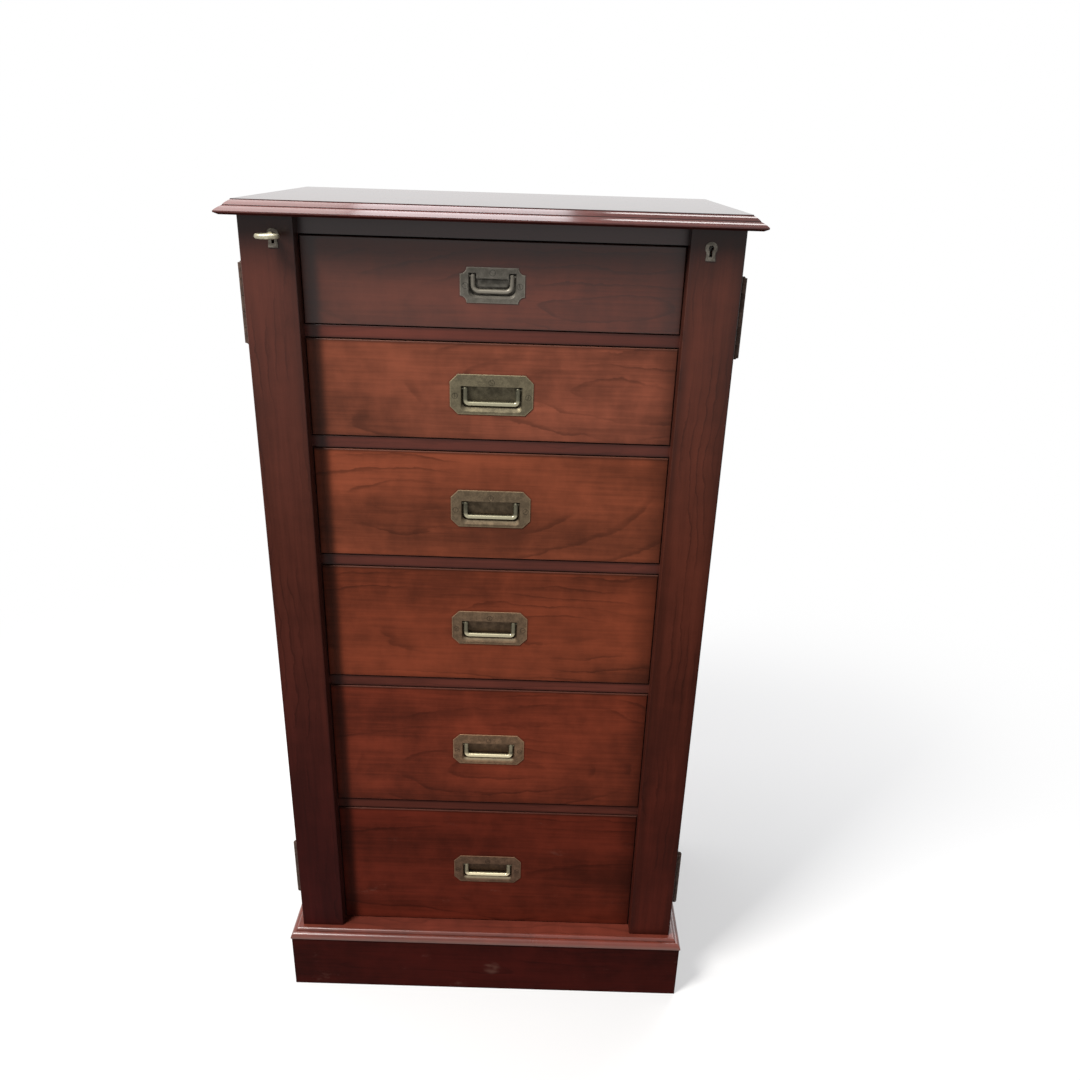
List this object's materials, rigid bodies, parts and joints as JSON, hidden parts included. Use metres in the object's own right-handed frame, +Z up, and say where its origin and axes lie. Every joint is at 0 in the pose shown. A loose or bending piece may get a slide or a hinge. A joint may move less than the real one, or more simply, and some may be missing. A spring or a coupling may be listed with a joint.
{
  "type": "wellington chest",
  "caption": "Tall narrow mahogany chest of graduated drawers with recessed brass drop handles, a moulded top and plinth, and a hinged locking stile down each side.",
  "frame": {"origin": "on the floor, at the middle of the chest's width and of its whole depth with the key", "axes": "+Z up, +X to the right seen from the front, drawers open along -Y"},
  "size_m": [0.625, 0.387, 1.2],
  "materials": {
    "case_mahogany": "dark red-brown mahogany, French polished",
    "figured_mahogany": "figured orange-brown mahogany, French polished",
    "lining_wood": "bare aged secondary timber",
    "aged_brass": "dull aged brass, brighter where hands rub it",
    "lock_steel": "dull grey steel"
  },
  "bodies": {
    "carcass": {"top_board": "case_mahogany", "left_side": "case_mahogany", "right_side": "case_mahogany", "back_panel": "lining_wood", "left_post": "case_mahogany", "right_post": "case_mahogany", "top_rail": "case_mahogany", "drawer_rails": "case_mahogany", "dust_boards": "lining_wood", "drawer_guides": "lining_wood", "base_board": "lining_wood", "plinth_front": "case_mahogany", "plinth_sides": "case_mahogany", "plinth_back": "lining_wood", "plinth_cap": "case_mahogany", "corner_blocks": "lining_wood", "carcass_hinge_leaves": "aged_brass", "hinge_pins": "aged_brass"},
    "left_stile": {"left_stile": "case_mahogany", "left_stile_hinge_leaves": "aged_brass", "left_lock_case": "lock_steel", "left_escutcheon": "aged_brass"},
    "left_bolt": {"left_bolt": "lock_steel"},
    "right_stile": {"right_stile": "case_mahogany", "right_stile_hinge_leaves": "aged_brass", "right_lock_case": "lock_steel", "right_escutcheon": "aged_brass"},
    "right_bolt": {"right_bolt": "lock_steel"},
    "key": {"key": "lock_steel"},
    "drawer_1": {"drawer_1_front": "figured_mahogany", "drawer_1_box": "lining_wood", "handle_1_plate": "aged_brass", "handle_1_screws": "aged_brass"},
    "bail_1": {"handle_1_bail": "aged_brass"},
    "drawer_2": {"drawer_2_front": "figured_mahogany", "drawer_2_box": "lining_wood", "handle_2_plate": "aged_brass", "handle_2_screws": "aged_brass"},
    "bail_2": {"handle_2_bail": "aged_brass"},
    "drawer_3": {"drawer_3_front": "figured_mahogany", "drawer_3_box": "lining_wood", "handle_3_plate": "aged_brass", "handle_3_screws": "aged_brass"},
    "bail_3": {"handle_3_bail": "aged_brass"},
    "drawer_4": {"drawer_4_front": "figured_mahogany", "drawer_4_box": "lining_wood", "handle_4_plate": "aged_brass", "handle_4_screws": "aged_brass"},
    "bail_4": {"handle_4_bail": "aged_brass"},
    "drawer_5": {"drawer_5_front": "figured_mahogany", "drawer_5_box": "lining_wood", "handle_5_plate": "aged_brass", "handle_5_screws": "aged_brass"},
    "bail_5": {"handle_5_bail": "aged_brass"},
    "drawer_6": {"drawer_6_front": "figured_mahogany", "drawer_6_box": "lining_wood", "handle_6_plate": "aged_brass", "handle_6_screws": "aged_brass"},
    "bail_6": {"handle_6_bail": "aged_brass"}
  },
  "joints": [
    {"name": "drawer_1_slide", "type": "slide", "parent": "carcass", "child": "drawer_1", "axis": [0, -1, 0], "range_m": [0, 0.24]},
    {"name": "bail_1_swing", "type": "hinge", "parent": "drawer_1", "child": "bail_1", "pos_m": [0, -0.1391, 1.1205], "axis": [-1, 0, 0], "range_deg": [0, 90]},
    {"name": "drawer_2_slide", "type": "slide", "parent": "carcass", "child": "drawer_2", "axis": [0, -1, 0], "range_m": [0, 0.24]},
    {"name": "bail_2_swing", "type": "hinge", "parent": "drawer_2", "child": "bail_2", "pos_m": [0, -0.1388, 0.9838], "axis": [-1, 0, 0], "range_deg": [0, 90]},
    {"name": "drawer_3_slide", "type": "slide", "parent": "carcass", "child": "drawer_3", "axis": [0, -1, 0], "range_m": [0, 0.24]},
    {"name": "bail_3_swing", "type": "hinge", "parent": "drawer_3", "child": "bail_3", "pos_m": [0, -0.1388, 0.83105], "axis": [-1, 0, 0], "range_deg": [0, 90]},
    {"name": "drawer_4_slide", "type": "slide", "parent": "carcass", "child": "drawer_4", "axis": [0, -1, 0], "range_m": [0, 0.24]},
    {"name": "bail_4_swing", "type": "hinge", "parent": "drawer_4", "child": "bail_4", "pos_m": [0, -0.1388, 0.6538], "axis": [-1, 0, 0], "range_deg": [0, 90]},
    {"name": "drawer_5_slide", "type": "slide", "parent": "carcass", "child": "drawer_5", "axis": [0, -1, 0], "range_m": [0, 0.24]},
    {"name": "bail_5_swing", "type": "hinge", "parent": "drawer_5", "child": "bail_5", "pos_m": [0, -0.1388, 0.45055], "axis": [-1, 0, 0], "range_deg": [0, 90]},
    {"name": "drawer_6_slide", "type": "slide", "parent": "carcass", "child": "drawer_6", "axis": [0, -1, 0], "range_m": [0, 0.24]},
    {"name": "bail_6_swing", "type": "hinge", "parent": "drawer_6", "child": "bail_6", "pos_m": [0, -0.1388, 0.2239], "axis": [-1, 0, 0], "range_deg": [0, 90]},
    {"name": "left_stile_swing", "type": "hinge", "parent": "carcass", "child": "left_stile", "pos_m": [-0.2973, -0.1417, 0.6467], "axis": [0, 0, -1], "range_deg": [0, 180]},
    {"name": "left_bolt_slide", "type": "slide", "parent": "left_stile", "child": "left_bolt", "axis": [0, 0, 1], "range_m": [0, 0.006]},
    {"name": "right_stile_swing", "type": "hinge", "parent": "carcass", "child": "right_stile", "pos_m": [0.2973, -0.1417, 0.6467], "axis": [0, 0, 1], "range_deg": [0, 180]},
    {"name": "right_bolt_slide", "type": "slide", "parent": "right_stile", "child": "right_bolt", "axis": [0, 0, 1], "range_m": [0, 0.006]},
    {"name": "key_turn", "type": "hinge", "parent": "left_stile", "child": "key", "pos_m": [-0.2525, -0.1605, 1.162], "axis": [0, -1, 0], "range_deg": [0, 90]}
  ],
  "couplings": [
    {"joint": "left_bolt_slide", "follows": "key_turn", "m_per_rad": 0.003819}
  ]
}
